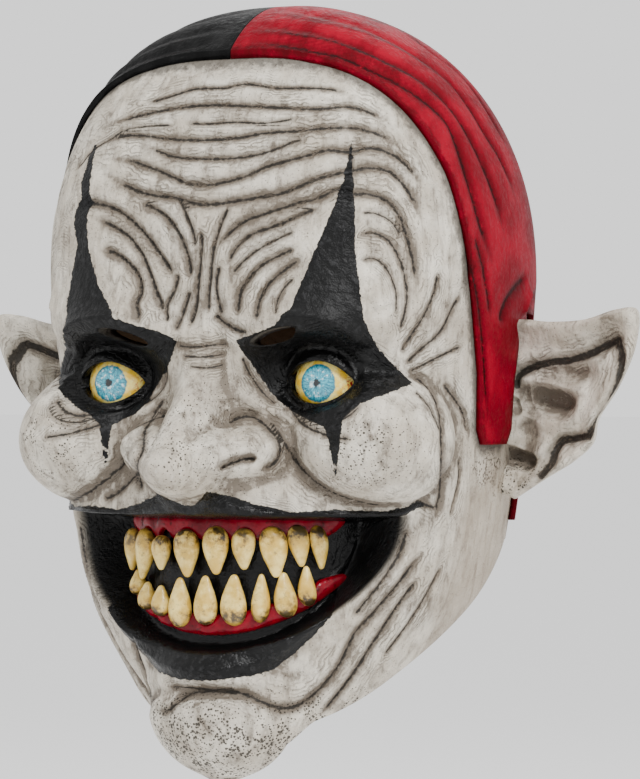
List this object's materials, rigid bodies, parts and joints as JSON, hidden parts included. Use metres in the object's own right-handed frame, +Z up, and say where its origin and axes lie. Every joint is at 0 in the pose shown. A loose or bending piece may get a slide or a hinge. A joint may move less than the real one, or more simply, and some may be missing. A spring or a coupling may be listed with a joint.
{
  "type": "jester mask",
  "caption": "Full-head latex jester mask with pointed ears, painted eyes, a wide grin of teeth and a two-colour cap, shown in its worn form.",
  "frame": {"origin": "inside of the crown, where the mask bears on the wearer's head", "axes": "+Z up through the crown, the face looks along -Y, +X towards the wearer's left"},
  "size_m": [0.293, 0.2256, 0.3046],
  "materials": {
    "skin": "matt painted latex with a dark wash in its creases",
    "cap_red": "satin painted latex",
    "cap_black": "satin painted latex",
    "eye": "clear gloss over paint",
    "gum": "gloss",
    "tooth": "gloss over stain"
  },
  "bodies": {
    "root": {"face_shell": "skin", "cap_red": "cap_red", "cap_black": "cap_black", "ear_left": "skin", "ear_right": "skin", "eye_left": "eye", "eye_right": "eye", "upper_gum": "gum", "lower_gum": "gum", "upper_tooth_left_1": "tooth", "upper_tooth_left_2": "tooth", "upper_tooth_left_3": "tooth", "upper_tooth_left_4": "tooth", "upper_tooth_left_5": "tooth", "upper_tooth_right_1": "tooth", "upper_tooth_right_2": "tooth", "upper_tooth_right_3": "tooth", "upper_tooth_right_4": "tooth", "lower_tooth_left_1": "tooth", "lower_tooth_left_2": "tooth", "lower_tooth_left_3": "tooth", "lower_tooth_left_4": "tooth", "lower_tooth_right_1": "tooth", "lower_tooth_right_2": "tooth", "lower_tooth_right_3": "tooth", "lower_tooth_right_4": "tooth", "lower_tooth_right_5": "tooth"}
  },
  "joints": []
}
